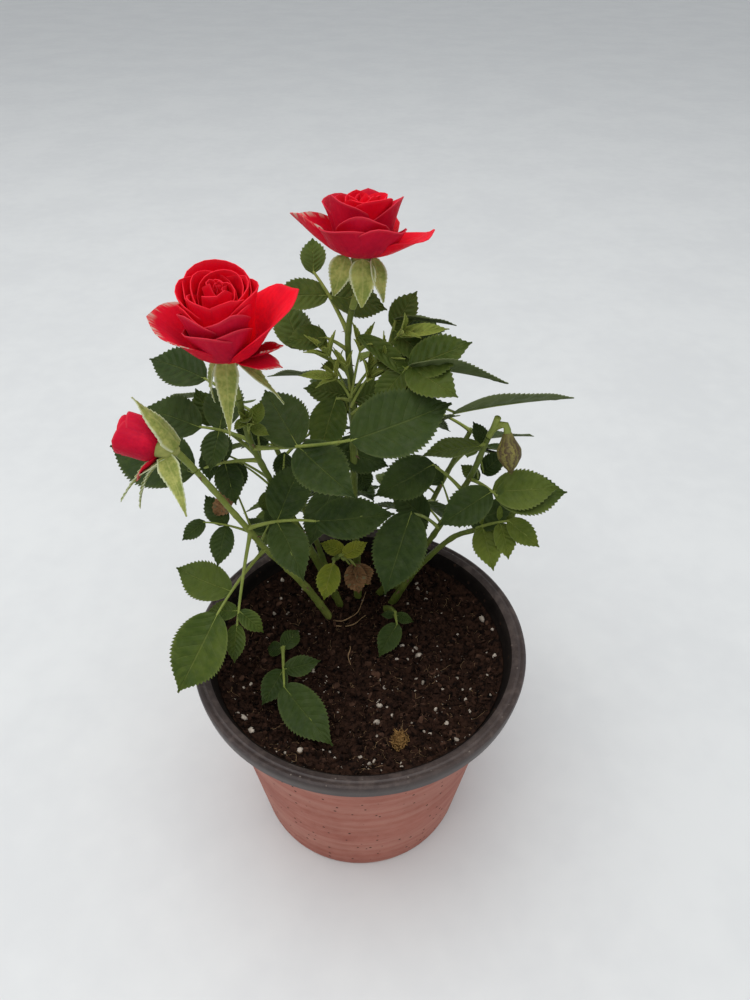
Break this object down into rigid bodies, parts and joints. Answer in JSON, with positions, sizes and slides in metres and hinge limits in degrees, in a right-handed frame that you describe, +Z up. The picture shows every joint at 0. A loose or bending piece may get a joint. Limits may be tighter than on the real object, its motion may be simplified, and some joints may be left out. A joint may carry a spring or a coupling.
{
  "type": "rose bush",
  "caption": "Small rose bush with open red blooms, buds and toothed leaflets on green canes, growing in potting mix in a round tapered nursery pot with a turned-down rim.",
  "frame": {"origin": "centre of the pot's flat underside", "axes": "+Z up, -Y the plant's front, which the open blooms lean to, +X its right hand side as seen from the front"},
  "size_m": [0.1743, 0.1631, 0.2791],
  "materials": {
    "pot": "dusty moulded plastic",
    "potting_mix": "damp peat with white perlite",
    "cane": "smooth green bark",
    "leaf": "matte leaf",
    "petal": "velvety petal",
    "bud": "closed sepals"
  },
  "bodies": {
    "root": {"bough_low": "cane", "bough_upper_right": "cane", "bud_left": "petal", "bud_right": "bud", "cane_back": "cane", "cane_back_left": "cane", "cane_back_right": "cane", "cane_centre": "cane", "cane_front": "cane", "cane_front_low": "cane", "cane_left": "cane", "cane_right": "cane", "cane_right_low": "cane", "cane_rose": "cane", "leaves_back": "leaf", "leaves_back_left": "leaf", "leaves_back_right": "leaf", "leaves_front": "leaf", "leaves_front_low": "leaf", "leaves_left_high": "leaf", "leaves_left_low": "leaf", "leaves_low": "leaf", "leaves_right": "leaf", "leaves_right_low": "leaf", "leaves_upper_left": "leaf", "leaves_upper_right": "leaf", "pot": "pot", "potting_mix": "potting_mix", "rose_left": "petal", "rose_top": "petal"}
  },
  "joints": []
}
